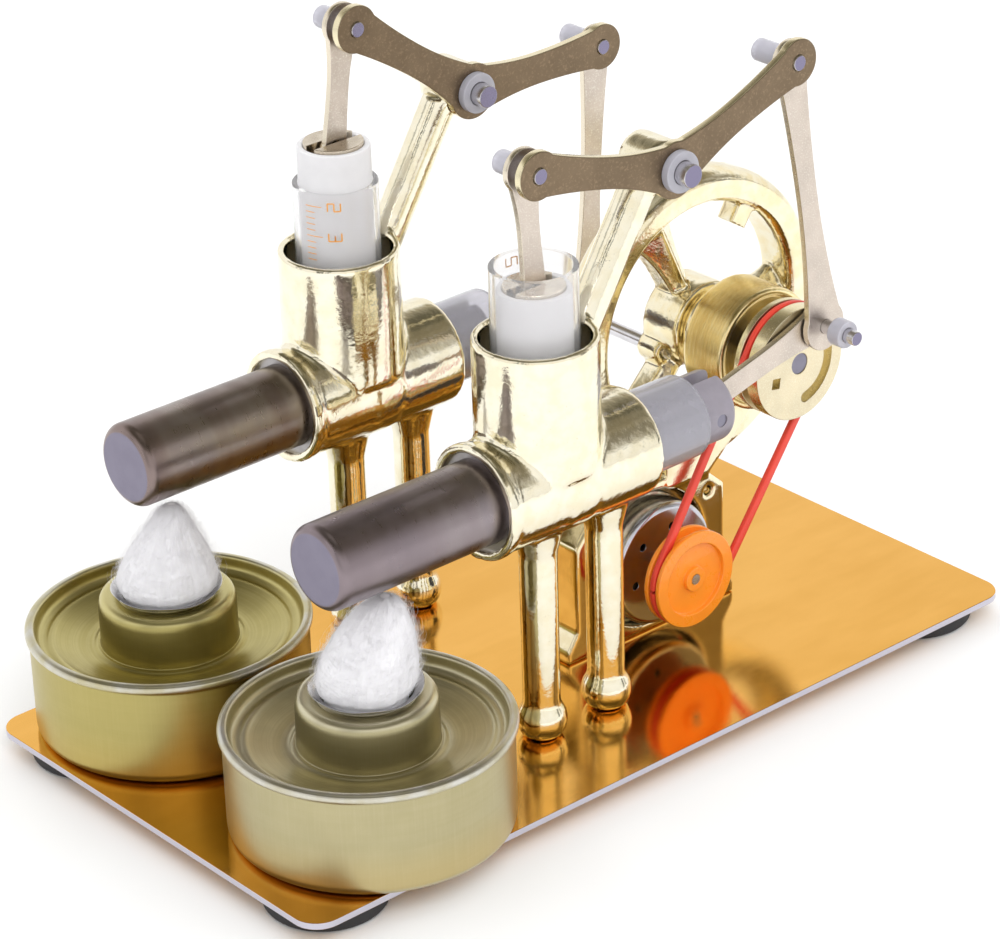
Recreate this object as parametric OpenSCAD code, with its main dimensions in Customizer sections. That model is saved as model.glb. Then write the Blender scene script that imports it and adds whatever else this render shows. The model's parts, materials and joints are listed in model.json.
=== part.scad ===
// Twin hot-air engine model with rocking beams, a flywheel, a belt and a small generator.
// X runs along the engines from the burners to the flywheel, Y runs across them, Z is up.
// The origin is on the table, under the middle of the base plate.

/* [Base] */
// Length of the base plate along X
plate_l = 170; // [160:1:204]
// Width of the base plate along Y
plate_w = 93; // [86:1:112]
// Thickness of the base plate
plate_t = 1.3; // [1:0.1:2]
// Corner radius of the base plate
plate_corner = 5; // [2:0.5:10]
// Diameter of a rubber foot
foot_d = 22; // [16:1:26]
// Height of a rubber foot
foot_h = 4; // [3:0.5:8]
// Distance from the plate's edges to a foot's centre
foot_inset = 12.5; // [11.5:0.5:20]

/* [Burners] */
// Diameter over the rolled rim of a burner
can_d = 52; // [44:1:53]
// Height of a burner's rim above the plate
can_h = 20.5; // [16:0.5:24]
// Wall of a burner's tin
can_wall = 0.6; // [0.4:0.1:1]
// Radius of the rolled rim's bead
bead_r = 1; // [0.8:0.1:1.4]
// Depth of the lid below the rim, at its outer edge
lid_drop = 2.6; // [1.6:0.1:4]
// How much deeper the lid lies where it meets the neck
lid_dish = 2.2; // [0.5:0.1:3]
// Outer diameter of a burner's neck
neck_d = 25; // [22:0.5:30]
// Height of the neck above the rim
neck_h = 5.2; // [3:0.1:6]
// Outer diameter of the wick cup at its lip
cup_d = 20.2; // [15:0.2:20.6]
// Height of the wick cup's lip above the neck
cup_h = 1.5; // [1.2:0.1:3]
// Gap between a wick's tip and the hot tube
wick_gap = 1; // [0.5:0.1:3]

/* [Engines] */
// Height of the barrels' centre line above the plate
barrel_z = 51.6; // [50:0.5:60]
// Y of the engine next to the viewer
near_y = -24.9; // [-28:0.1:-24.5]
// Y of the engine on the far side
far_y = 28.6; // [27:0.1:32]
// Outer radius of a barrel
barrel_r = 10.4; // [9.8:0.1:12]
// Length of a barrel
barrel_l = 35.8; // [34:0.2:43]
// Outer radius of a hot tube
hot_r = 7.8; // [7.6:0.1:8.2]
// Length of a hot tube that stands out of its barrel
hot_l = 34.8; // [30:0.2:41.8]
// Wall of a hot tube
hot_wall = 0.8; // [0.6:0.1:0.9]
// Outer radius of a glass cylinder
glass_r = 7.8; // [7.6:0.1:8]
// Bore radius of a glass cylinder
glass_bore = 6.75; // [6.5:0.05:6.8]
// Length of a cold cylinder that stands out of its barrel
cold_l = 13.6; // [11:0.2:16]
// Outer radius of an upright sleeve
sleeve_r = 11.2; // [11:0.1:12]
// Bore radius of an upright sleeve
sleeve_bore = 9.8; // [9.2:0.1:10.2]
// Height of a sleeve's rim above the barrel's centre line
sleeve_h = 27.4; // [26:0.2:32]
// Height of an upright glass above the sleeve's rim
glass_up = 12.7; // [10:0.1:13]
// Diameter of a leg
leg_d = 7; // [5:0.2:8]
// Distance between the two legs of an engine
leg_pitch = 15.7; // [14:0.1:18]
// Radius of a leg's ball foot
leg_ball_r = 4.7; // [4.2:0.1:5.6]

/* [Linkage] */
// Distance from the sleeve's axis to the rocker pivot along X
pivot_dx = 29.5; // [28:0.5:31]
// Height of the rocker pivot above the barrel's centre line
pivot_dz = 50.1; // [49:0.1:51]
// Rocker arm on the piston's side
arm_piston = 32.3; // [31:0.1:33]
// Rocker arm on the crank's side
arm_crank = 31.8; // [30:0.1:33]
// Angle between the two rocker arms
rocker_bend = 144.3; // [140:0.1:150]
// Thickness of a rocker
rocker_t = 1.6; // [1.2:0.1:1.6]
// Radius of a rocker's round ends
rocker_end_r = 4.4; // [4:0.1:5]
// Radius of a rocker's hub
rocker_hub_r = 5.3; // [5:0.1:6]
// Half width of a rocker's arm at its waist
rocker_waist = 2.9; // [2.4:0.1:3.4]
// Thickness of the rods and links
rod_t = 1.3; // [1:0.1:1.3]
// Push rod length between its pins
push_l = 55; // [54.4:0.1:55.6]
// Piston link length between its pins
link_l = 23.3; // [22:0.1:26]
// Connecting rod length between its pins
con_l = 31.3; // [31:0.1:32.6]
// Radius of the pins in the rockers and links
pin_r = 1.4; // [1:0.1:1.5]
// Radius of a rocker's pivot pin
pivot_r = 2.1; // [1.6:0.05:2.3]

/* [Crank and flywheel] */
// Distance from the sleeve's axis to the shaft along X
shaft_dx = 65; // [64:0.5:66]
// Radius from the shaft to a crank pin
throw = 8.3; // [7:0.1:8.5]
// Angle of the crank pin on the viewer's side
near_angle = 66; // [0:1:359]
// Angle of the crank pin on the far side
far_angle = 214; // [0:1:359]
// Radius of the main shaft
shaft_r = 2; // [1.5:0.1:2.2]
// Outer radius of the flywheel
fly_r = 30; // [26:0.5:33]
// Radial thickness of the flywheel's rim
fly_rim = 6.6; // [5:0.1:7.5]
// Width of the flywheel's rim
fly_w = 9; // [7:0.5:9.5]
// Radius of the crank pulley
disc_r = 11; // [10.5:0.1:12]

/* [Generator] */
// Radius of the motor
motor_r = 12.2; // [10:0.1:12.4]
// Length of the motor's can
motor_l = 12; // [10:0.5:13]
// Distance from the main shaft to the motor along X
motor_dx = 24.8; // [24:0.1:28]
// Height of the motor's axis above the plate
motor_z = 15; // [14.5:0.1:17]
// Radius of the motor's pulley
pulley_r = 9.5; // [8:0.1:10]
// Thickness of the drive belt
belt_t = 1.2; // [0.8:0.1:1.4]
// Width of the drive belt
belt_w = 1.7; // [1.2:0.1:1.8]

/* [Hidden] */
$fn = 96;

fit = 0.02;          // gap of a pressed or glued seat
run = 0.05;          // running gap of a pin, shaft or piston
air = 0.3;           // gap between pieces that move past each other
cut = 1;             // how far a cut runs past the surface it opens
near = 0;
far = 1;

// Heights and places along X
plate_z = foot_h;
floor_z = foot_h + plate_t;
rest_gap = 0.05;      // a burner stands this far above the plate
axis_z = floor_z + barrel_z;
sleeve_x = -14.2;
shaft_x = sleeve_x + shaft_dx;
pivot_x = sleeve_x + pivot_dx;
pivot_z = axis_z + pivot_dz;
collar_x = sleeve_x - 15.2;
barrel_end = collar_x + barrel_l;
hot_end = collar_x - hot_l;
cold_end = barrel_end + cold_l;
sleeve_top = axis_z + sleeve_h;
engine_y = [near_y, far_y];
leg_x = [sleeve_x - 0.7, sleeve_x - 0.7 + leg_pitch];

// Places across the engine, measured from its centre plane
link_y = -rod_t / 2;
push_y = -2.6;
con_y = -0.95;
rocker_y = -4.4;
boss_y = [rocker_y + rocker_t + 0.4, 6];
pivot_out = -8.5;
sleeve_out = 5;
pin_out = rocker_y - 0.3;

// Linkage at rest, worked out from the crank angles
crank_angle = [near_angle, far_angle];
function crank_x(e) = shaft_x + throw * cos(crank_angle[e]);
function crank_z(e) = axis_z + throw * sin(crank_angle[e]);
function span(e) = norm([crank_x(e) - pivot_x, crank_z(e) - pivot_z]);
function sight(e) = atan2(crank_z(e) - pivot_z, crank_x(e) - pivot_x);
function corner(a, b, c) = acos((a * a + b * b - c * c) / (2 * a * b));
function arm_angle(e) = sight(e) + corner(arm_crank, span(e), push_l);
function tail_angle(e) = arm_angle(e) + rocker_bend;
function head_x(e) = pivot_x + arm_crank * cos(arm_angle(e));
function head_z(e) = pivot_z + arm_crank * sin(arm_angle(e));
function tail_x(e) = pivot_x + arm_piston * cos(tail_angle(e));
function tail_z(e) = pivot_z + arm_piston * sin(tail_angle(e));
function clevis_z(e) = tail_z(e) - sqrt(link_l * link_l - pow(tail_x(e) - sleeve_x, 2));
function wrist_x(e) = crank_x(e) - sqrt(con_l * con_l - pow(crank_z(e) - axis_z, 2));

// Main shaft assembly along Y
disc_y = near_y + con_y + rod_t + air;
groove_y = disc_y + 2.95;
groove_w = 2;
disc_end = groove_y + groove_w + 1.3;
groove_deep = 1.6;
housing_y = disc_end + 2.7;
housing_l = 10;
housing_r = 11.85;
bearing_r = 5.5;
bearing_w = 4;
hub_y = housing_y + housing_l + 1;
fly_y = hub_y + 5.5;
hub_end = fly_y + fly_w - 1;
boss_end = fly_y + fly_w - 0.4;
hub_r = 8.6;
crank_pin_r = 1.35;

// Generator
motor_x = shaft_x - motor_dx;
motor_axis = floor_z + motor_z;
pulley_y = groove_y + groove_w / 2 - 2;
pulley_w = 4;
motor_y = pulley_y + pulley_w + 4.5;
motor_shaft_r = 1;
ring_y = motor_y + 3.5;
ring_w = 8;
ring_half = 18.8;
belt_y = groove_y + groove_w / 2 - belt_w / 2;
belt_gap = 0.2;
crank_groove_r = disc_r - groove_deep;
pulley_groove_r = pulley_r - groove_deep;

// Burners
can_x = [-55.8, -58.8];
can_gap = 1;
can_y = [-(can_d + can_gap) / 2, (can_d + can_gap) / 2];
can_r = can_d / 2;
can_z = floor_z + rest_gap;
rim_z = can_z + can_h;
neck_z = rim_z + neck_h;
cup_z = neck_z + cup_h;
wick_top = axis_z - hot_r - wick_gap;
wick_lean = [5, 2.4];

// A cylinder that starts at [x, y, z] and runs along X, Y or Z
module rod_x(r, l, at) { translate(at) rotate([0, 90, 0]) cylinder(h = l, r = r); }
module rod_y(r, l, at) { translate(at) rotate([-90, 0, 0]) cylinder(h = l, r = r); }
module rod_z(r, l, at) { translate(at) cylinder(h = l, r = r); }

// A flat plate cut from an outline drawn in X and Z, from y to y + t
module plate_xz(y, t) { translate([0, y + t, 0]) rotate([90, 0, 0]) linear_extrude(t) children(); }

// Turns a profile of [radius, height] points about a line along Y
module turned_y(at) { translate(at) rotate([-90, 0, 0]) rotate_extrude() children(); }

// Half width along a rod: r0 at the start, waist in the middle, r1 at the end
function half_width(t, r0, waist, r1) = waist + (t < 0.5 ? r0 - waist : r1 - waist) * pow(2 * t - 1, 2);

// Waisted sides of a rod between two points; the round ends are drawn apart
tuck = 0.35;         // how far the sides start inside the round ends

module sides(p, q, r0, waist, r1) {
    steps = 16;
    l = norm(q - p);
    a = atan2(q[1] - p[1], q[0] - p[0]);
    right = [for (i = [0:steps]) [l * i / steps, -half_width(i / steps, r0 - tuck, waist, r1 - tuck)]];
    left = [for (i = [steps:-1:0]) [l * i / steps, half_width(i / steps, r0 - tuck, waist, r1 - tuck)]];
    translate(p) rotate(a) polygon(concat(right, left));
}

// Outline of a waisted rod with round ends between two points
module waisted(p, q, r0, waist, r1) {
    sides(p, q, r0, waist, r1);
    translate(p) circle(r0);
    translate(q) circle(r1);
}

module base_plate() {
    color("goldenrod") difference() {
        translate([-plate_l / 2 + plate_corner, -plate_w / 2, plate_z])
            cube([plate_l - 2 * plate_corner, plate_w, plate_t]);
        base_screw_holes();
    }
    color("goldenrod") for (s = [-1, 1]) plate_end(s);
}

// Rounded end strip of the plate
module plate_end(s) {
    inner = plate_l / 2 - plate_corner;
    span_y = plate_w - 2 * plate_corner;
    translate([s > 0 ? inner : -plate_l / 2, -span_y / 2, plate_z]) cube([plate_corner, span_y, plate_t]);
    for (t = [-1, 1]) intersection() {
        translate([s * inner, t * span_y / 2, plate_z]) cylinder(h = plate_t, r = plate_corner);
        translate([s > 0 ? inner : -plate_l / 2, t > 0 ? span_y / 2 : -plate_w / 2, plate_z])
            cube([plate_corner, plate_corner, plate_t]);
    }
}

screw_r = 1.25;
screw_head_r = 2.4;
screw_head_h = 1.4;
screw_deep = 8;
stand_feet = [[motor_x - ring_half + 3, ring_y + ring_w / 2], [motor_x + ring_half - 3, ring_y + ring_w / 2]];
screw_spots = concat([for (e = [near, far], x = leg_x) [x, engine_y[e]]], stand_feet);

module base_screw_holes() {
    for (s = screw_spots) rod_z(screw_r + fit, plate_t + 2 * cut, [s[0], s[1], plate_z - cut]);
}

module base_feet() {
    x = plate_l / 2 - foot_inset;
    y = plate_w / 2 - foot_inset;
    lip = 0.8;
    color("black") for (i = [-1, 1], j = [-1, 1]) translate([i * x, j * y, 0]) rotate_extrude()
        polygon([[0, 0], [foot_d / 2 - lip, 0], [foot_d / 2, lip], [foot_d / 2, foot_h], [0, foot_h]]);
}

module base_screws() {
    color("silver") for (s = screw_spots) {
        difference() {
            rod_z(screw_head_r, screw_head_h, [s[0], s[1], plate_z - screw_head_h]);
            translate([s[0] - 0.3, s[1] - screw_head_r, plate_z - screw_head_h - cut])
                cube([0.6, 2 * screw_head_r, cut + 0.6]);
        }
        rod_z(screw_r, plate_t + screw_deep, [s[0], s[1], plate_z]);
    }
}

// Engine casting
ring_l = 8;                       // length of the ring that holds the hot tube
tube_seat_x = collar_x + ring_l;
hot_open = collar_x + 13;         // open end of the hot tube inside the barrel
cold_start = barrel_end - 12;     // inner end of the cold cylinder
chamber_r = glass_bore + 0.45;
sleeve_floor = axis_z + barrel_r + 3.4;
glass_start = axis_z + barrel_r + 0.2;
glass_top = sleeve_top + glass_up;
seal_h = 2;
passage_r = 3.5;
rib_at = 15;
rib_w = 5.4;
boss_r = 4.8;
post_r = 3.4;
post_y = boss_y[0] + post_r + 0.2;    // the post stays behind the boss's front face
post_foot = [sleeve_x + sleeve_r - 1.1, sleeve_top - 5.2];
post_head = [pivot_x - 2.2, pivot_z];

// Leg with a ball foot that is flattened where it stands on the plate
module leg(x) {
    top = barrel_z - barrel_r * 0.8;
    ball_z = leg_ball_r * 0.7;
    raise = 0.3;          // the leg starts inside the ball, above its flat
    flare = 7;
    translate([x, 0, floor_z]) {
        translate([0, 0, raise]) cylinder(h = top - raise, r = leg_d / 2);
        difference() {
            translate([0, 0, ball_z]) sphere(leg_ball_r);
            translate([-leg_ball_r, -leg_ball_r, -2 * leg_ball_r]) cube(2 * leg_ball_r);
        }
        translate([0, 0, top - flare]) cylinder(h = flare, r1 = leg_d / 2 - 0.1, r2 = leg_d / 2 + 1.6);
    }
}

module engine_body(e) {
    color("khaki") translate([0, engine_y[e], 0]) difference() {
        union() {
            rod_x(barrel_r, barrel_l, [collar_x, 0, axis_z]);
            rod_x(barrel_r + 0.35, 2, [collar_x, 0, axis_z]);
            rod_x(barrel_r + 0.25, rib_w, [collar_x + rib_at, 0, axis_z]);
            rod_z(sleeve_r, sleeve_h - 3, [sleeve_x, 0, axis_z + 3]);
            for (x = leg_x) leg(x);
            post();
            rod_y(boss_r, boss_y[1] - boss_y[0], [pivot_x, boss_y[0], pivot_z]);
        }
        rod_x(hot_r + 1.2 + fit, ring_l + cut, [collar_x - cut, 0, axis_z]);
        rod_x(hot_r + fit, hot_open - collar_x + cut, [collar_x - cut, 0, axis_z]);
        rod_x(chamber_r, barrel_l - cut, [collar_x + cut, 0, axis_z]);
        rod_x(glass_r + fit, barrel_end - cold_start + cut, [cold_start, 0, axis_z]);
        rod_z(sleeve_bore, sleeve_h, [sleeve_x, 0, sleeve_floor]);
        rod_z(glass_r + fit, sleeve_floor - glass_start + cut, [sleeve_x, 0, glass_start]);
        rod_z(passage_r, barrel_r + cut, [sleeve_x, 0, axis_z]);
        rod_y(pivot_r + fit, boss_y[1] - boss_y[0] + 2 * cut, [pivot_x, boss_y[0] - cut, pivot_z]);
        for (x = leg_x) rod_z(screw_r + fit, screw_deep + cut, [x, 0, floor_z - cut]);
    }
}

// Inclined post from the sleeve's wall to the pivot boss
module post() {
    rise = post_head - post_foot;
    lean = atan2(rise[0], rise[1]);
    translate([post_foot[0], post_y, post_foot[1]]) {
        rotate([0, lean, 0]) cylinder(h = norm(rise) - boss_r / 2, r = post_r);
        sphere(post_r);
    }
}

module hot_tube(e) {
    round_r = 1.9;
    inner = hot_r - hot_wall;
    l = hot_open - hot_end;
    color("dimgray") translate([hot_end, engine_y[e], axis_z]) rotate([0, 90, 0]) difference() {
        union() {
            translate([0, 0, round_r]) cylinder(h = l - round_r, r = hot_r);
            cylinder(h = 2 * round_r, r = hot_r - round_r);
            translate([0, 0, round_r]) rotate_extrude() translate([hot_r - round_r, 0]) circle(round_r);
        }
        translate([0, 0, 1.2]) cylinder(h = l, r = inner);
    }
}

module tube_rings() {
    color("gray") for (e = [near, far]) translate([0, engine_y[e], 0]) difference() {
        rod_x(hot_r + 1.2, ring_l - 1.2, [collar_x + 1.2, 0, axis_z]);
        rod_x(hot_r + fit, ring_l + cut, [collar_x, 0, axis_z]);
    }
}

module cold_cylinder(e) {
    l = cold_end - cold_start;
    color("lightcyan", 0.5) translate([0, engine_y[e], 0]) difference() {
        rod_x(glass_r, l, [cold_start, 0, axis_z]);
        rod_x(glass_bore, l + 2 * cut, [cold_start - cut, 0, axis_z]);
    }
}

module glass_cylinder(e) {
    l = glass_top - glass_start;
    color("lightcyan", 0.5) translate([sleeve_x, engine_y[e], glass_start]) difference() {
        cylinder(h = l, r = glass_r);
        translate([0, 0, -cut]) cylinder(h = l + 2 * cut, r = glass_bore);
    }
}

module glass_seals() {
    color("white") for (e = [near, far]) translate([sleeve_x, engine_y[e], sleeve_floor]) difference() {
        cylinder(h = seal_h, r = sleeve_bore - fit);
        translate([0, 0, -cut]) cylinder(h = seal_h + 2 * cut, r = glass_r + fit);
    }
}

module pivot_pins() {
    color("silver") for (e = [near, far])
        rod_y(pivot_r, boss_y[1] - pivot_out, [pivot_x, engine_y[e] + pivot_out, pivot_z]);
}

// Rocker with its two end pins and nylon sleeves
module rocker(e) {
    hub = [pivot_x, pivot_z];
    head = [head_x(e), head_z(e)];
    tail = [tail_x(e), tail_z(e)];
    color("rosybrown") translate([0, engine_y[e], 0]) plate_xz(rocker_y, rocker_t) difference() {
        union() {
            for (p = [head, tail]) {
                sides(hub, p, rocker_hub_r, rocker_waist, rocker_end_r);
                translate(p) circle(rocker_end_r);
            }
            translate(hub) circle(rocker_hub_r);
        }
        translate(hub) circle(bush_r + fit);
        for (p = [head, tail]) translate(p) circle(pin_r + fit);
    }
}

bush_wall = 0.8;
bush_r = pivot_r + bush_wall;
sleeve_pin_r = 2.1;

module rocker_pins(e) {
    color("slategray") translate([0, engine_y[e], 0]) {
        rod_y(pin_r, sleeve_out - pin_out, [head_x(e), pin_out, head_z(e)]);
        rod_y(pin_r, sleeve_out - pin_out, [tail_x(e), pin_out, tail_z(e)]);
    }
}

// A nylon tube on a pin, from y0 to y1
module nylon(x, z, y0, y1, outer, inner) {
    difference() {
        rod_y(outer, y1 - y0, [x, y0, z]);
        rod_y(inner, y1 - y0 + 2 * cut, [x, y0 - cut, z]);
    }
}

module rocker_sleeves(e) {
    flange_t = 1.6;
    flange_r = bush_r + 0.9;
    cover = 0.6;
    color("white") translate([0, engine_y[e], 0]) {
        nylon(pivot_x, pivot_z, rocker_y - flange_t, rocker_y, flange_r, pivot_r + run);
        nylon(pivot_x, pivot_z, rocker_y, rocker_y + rocker_t, bush_r, pivot_r + run);
        nylon(head_x(e), head_z(e), push_y + rod_t + run, sleeve_out + cover, sleeve_pin_r, pin_r + fit);
        nylon(tail_x(e), tail_z(e), rocker_y + rocker_t + fit, link_y - run, sleeve_pin_r, pin_r + fit);
        nylon(tail_x(e), tail_z(e), link_y + rod_t + run, sleeve_out + cover, sleeve_pin_r, pin_r + fit);
    }
}

module push_rod(e) {
    color("tan") translate([0, engine_y[e], 0]) plate_xz(push_y, rod_t) difference() {
        waisted([head_x(e), head_z(e)], [crank_x(e), crank_z(e)], 3.8, 2.1, 4.7);
        translate([head_x(e), head_z(e)]) circle(pin_r + run);
        translate([crank_x(e), crank_z(e)]) circle(crank_pin_r + fit);
    }
}

// Crank pin: seated in the push rod on the viewer's side, in the connecting rod on the far side
crank_pin_y = [[-10.6, push_y + rod_t], [con_y, 5.6]];
crank_sleeve_y = [[-8.2, -5.3], [con_y + rod_t + run, 3.6]];
clevis_gap = 1.1;    // play of the piston link's eye on the clevis pin

module crank_pin(e) {
    y = crank_pin_y[e];
    color("silver") rod_y(crank_pin_r, y[1] - y[0], [crank_x(e), engine_y[e] + y[0], crank_z(e)]);
}

// Long crank rod from the flywheel's boss to just short of the far rods
module crank_rod() {
    start = boss_end - 6;
    color("silver") rod_y(crank_pin_r, far_y + push_y - air - start, [crank_x(far), start, crank_z(far)]);
}

module crank_sleeve(e) {
    y = crank_sleeve_y[e];
    color("white") translate([0, engine_y[e], 0])
        nylon(crank_x(e), crank_z(e), y[0], y[1], 2.6, crank_pin_r + fit);
}

clevis_pin_r = 0.9;
cap_r = glass_bore - 1.25;
slot_w = rod_t + 1;
piston_r = glass_bore - run;
cap_top = 2;         // cap's top above the clevis pin
link_eye_r = 2.9;
slot_floor = link_eye_r + clevis_gap;    // below the clevis pin
cap_web = 0.9;
cap_h = cap_top + slot_floor + cap_web;
cap_proud = 0.6;     // the cap stands this far out of its piston
piston_drop = [1.3, 12.1];    // how far each upright piston still sinks below its rest height
lowest_clevis = min(clevis_z(near) - piston_drop[near], clevis_z(far) - piston_drop[far]);
piston_h = lowest_clevis + cap_top - cap_proud - glass_start - air;

module piston_link(e) {
    color("tan") translate([0, engine_y[e], 0]) plate_xz(link_y, rod_t) difference() {
        waisted([tail_x(e), tail_z(e)], [sleeve_x, clevis_z(e)], 4, 2.1, link_eye_r);
        translate([tail_x(e), tail_z(e)]) circle(pin_r + run);
        translate([sleeve_x, clevis_z(e)]) circle(clevis_pin_r + clevis_gap);
    }
}

// Frosted power piston: an open cup that carries the bronze cap
module power_piston(e) {
    top = clevis_z(e) + cap_top - cap_proud;
    wall = 1.2;
    color("whitesmoke", 0.8) translate([sleeve_x, engine_y[e], top - piston_h]) difference() {
        cylinder(h = piston_h, r = piston_r);
        translate([0, 0, wall]) cylinder(h = piston_h, r = cap_r + fit);
    }
}

module piston_cap(e) {
    color("peru") translate([sleeve_x, engine_y[e], clevis_z(e)]) {
        difference() {
            translate([0, 0, cap_top - cap_h]) cylinder(h = cap_h, r = cap_r);
            translate([-cap_r - cut, -slot_w / 2, -slot_floor]) cube([2 * (cap_r + cut), slot_w, cap_h]);
        }
        translate([0, -slot_w / 2 - 1.5, 0]) rotate([-90, 0, 0]) cylinder(h = slot_w + 3, r = clevis_pin_r);
    }
}

wrist_r = 1.2;
crown_gap = 0.5;     // between the crown and the hot tube's bore
crown_play = 0.25;   // between the crown and the cold cylinder's bore
crown_r = min(hot_r - hot_wall - crown_gap, glass_bore - crown_play);
piston_back = 18;
piston_front = 4;
crown_l = 54;
spigot_r = 2;
spigot_l = 5;
rod_slot_w = 2 * (rod_t / 2 + 0.9);

// Horizontal frosted piston, slotted at its front for the connecting rod
module cold_piston(e) {
    x = wrist_x(e);
    color("whitesmoke", 0.8) translate([x, engine_y[e], axis_z]) difference() {
        union() {
            rod_x(piston_r, piston_back + piston_front - 1.5, [-piston_back, 0, 0]);
            rod_x(piston_r - 1.5, piston_back + piston_front, [-piston_back, 0, 0]);
            translate([piston_front - 1.5, 0, 0]) rotate([0, 90, 0]) rotate_extrude()
                translate([piston_r - 1.5, 0]) circle(1.5);
        }
        translate([-4.5, -rod_slot_w / 2 + con_mid, -piston_r - cut])
            cube([piston_front + 4.5 + cut, rod_slot_w, 2 * (piston_r + cut)]);
        rod_y(wrist_r + fit, 2 * (piston_r + cut), [0, -piston_r - cut, 0]);
        rod_x(spigot_r, spigot_l + cut, [-piston_back - cut, 0, 0]);
    }
}

con_mid = con_y + rod_t / 2;

// Hollow displacing crown on the cold piston, reaching into the hot tube
module hot_piston(e) {
    x = wrist_x(e) - piston_back;
    wall = 0.6;
    color("silver") translate([0, engine_y[e], 0]) {
        difference() {
            rod_x(crown_r, crown_l, [x - crown_l, 0, axis_z]);
            rod_x(crown_r - wall, crown_l - 2 * wall, [x - crown_l + wall, 0, axis_z]);
        }
        rod_x(spigot_r - fit, spigot_l - fit + wall / 2, [x - wall / 2, 0, axis_z]);
    }
}

module wrist_pin(e) {
    l = 2 * sqrt(piston_r * piston_r - wrist_r * wrist_r) - 0.2;
    color("dimgray") rod_y(wrist_r, l, [wrist_x(e), engine_y[e] - l / 2, axis_z]);
}

module con_rod(e) {
    color("tan") translate([0, engine_y[e], 0]) plate_xz(con_y, rod_t) difference() {
        waisted([wrist_x(e), axis_z], [crank_x(e), crank_z(e)], 2.6, 2.3, 4.2);
        translate([wrist_x(e), axis_z]) circle(wrist_r + run);
        translate([crank_x(e), crank_z(e)]) circle(crank_pin_r + fit);
    }
}

// Main shaft, its pulley and the flywheel
module crank_shaft() {
    color("slategray") rod_y(shaft_r, hub_end - disc_y - 0.2, [shaft_x, disc_y + 0.2, axis_z]);
}

module crank_pulley() {
    web_r = crank_groove_r - 2;
    color("khaki") difference() {
        turned_y([shaft_x, disc_y, axis_z]) difference() {
            translate([shaft_r + fit, 0]) square([disc_r - shaft_r - fit, disc_end - disc_y]);
            translate([crank_groove_r, groove_y - disc_y]) square([groove_deep + cut, groove_w]);
            translate([web_r, disc_end - disc_y - 0.8]) square([0.6, 0.8 + cut]);
        }
        plate_xz(disc_y - cut, 2.2 + cut) translate([shaft_x, axis_z]) arc_slot(7.4, 1.05, -78, 40);
        plate_xz(disc_y - cut, 2.2 + cut) translate([shaft_x, axis_z]) rotate(200) translate([6.4, 0])
            rotate(60) square(2, center = true);
    }
}

// A round-ended arc slot about the origin, as one outline
module arc_slot(r, half, a0, a1) {
    steps = 14;
    ends = 8;
    turn = (a1 - a0) / steps;
    outer = [for (i = [0:steps]) (r + half) * [cos(a0 + turn * i), sin(a0 + turn * i)]];
    last = [for (i = [1:ends - 1]) let (t = a1 + 180 * i / ends) r * [cos(a1), sin(a1)] + half * [cos(t), sin(t)]];
    inner = [for (i = [steps:-1:0]) (r - half) * [cos(a0 + turn * i), sin(a0 + turn * i)]];
    first = [for (i = [1:ends - 1]) let (t = a0 + 180 + 180 * i / ends) r * [cos(a0), sin(a0)] + half * [cos(t), sin(t)]];
    polygon(concat(outer, last, inner, first));
}

spoke_first = 114;

module flywheel() {
    inner = fly_r - fly_rim;
    round_r = 1.8;
    color("gold") difference() {
        union() {
            turned_y([shaft_x, fly_y, axis_z]) polygon([[inner, fly_w - 1], [inner + 1, fly_w],
                [fly_r - round_r, fly_w], [fly_r - 0.6, fly_w - 1], [fly_r, fly_w - round_r - 1],
                [fly_r, round_r + 1], [fly_r - 0.6, 1], [fly_r - round_r, 0], [inner + 1.2, 0], [inner, 1.6]]);
            rod_y(hub_r, hub_end - fly_y + 1.5, [shaft_x, fly_y - 1.5, axis_z]);
            rod_y(hub_r - 2.2, fly_y - hub_y, [shaft_x, hub_y, axis_z]);
            for (i = [0:2]) spoke(spoke_first + 120 * i, inner);
            lug(spoke_first - 57, inner);
            rod_y(2.8, boss_end - fly_y - 3, [crank_x(far), fly_y + 3, crank_z(far)]);
        }
        rod_y(shaft_r + fit, hub_end - hub_y + 2 * cut, [shaft_x, hub_y - cut, axis_z]);
        rod_y(crank_pin_r + fit, 6 + fit + cut, [crank_x(far), boss_end - 6 - fit, crank_z(far)]);
        rod_z(screw_r + fit, hub_r + cut, [shaft_x, hub_y + 2.2, axis_z]);
    }
}

// Spoke of triangular section that flares where it meets the rim
module spoke(a, inner) {
    deep = fly_w - 2;
    root = 3.4;
    waist = 2.2;
    flare = 6.4;
    wide = flare + 1;
    top = deep + 0.6;
    steps = 10;
    l = inner + 0.8 - root;
    side = [for (i = [0:steps]) let (t = i / steps) [root + l * t, waist + (flare - waist) * pow(t, 3)]];
    back = [for (i = [steps:-1:0]) [side[i][0], -side[i][1]]];
    translate([shaft_x, 0, axis_z]) rotate([0, -a, 0]) intersection() {
        plate_xz(fly_y, fly_w) polygon(concat(side, back));
        translate([0, fly_y, 0]) rotate([90, 0, 90]) linear_extrude(fly_r)
            polygon([[1, 0], [deep, -wide], [top, -wide], [top, wide], [deep, wide]]);
    }
}

// Small cast lug inside the rim
module lug(a, inner) {
    lug_l = 4;
    lug_w = 4.4;
    bury = 0.6;
    translate([shaft_x, fly_y + 1.5, axis_z]) rotate([0, -a, 0]) translate([inner - lug_l, 0, -lug_w / 2])
        cube([lug_l + bury, lug_w, lug_w]);
}

module shaft_screws() {
    r = screw_r;
    color("black") {
        rod_z(r, hub_r - 2.2 - shaft_r - 0.4, [shaft_x, hub_y + 2.2, axis_z + shaft_r + 0.1]);
    }
}

bearing_y = [housing_y + 0.9, housing_y + housing_l - bearing_w - 0.5];
race_in = shaft_r + 1.2;
race_out = bearing_r - 1;

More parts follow.
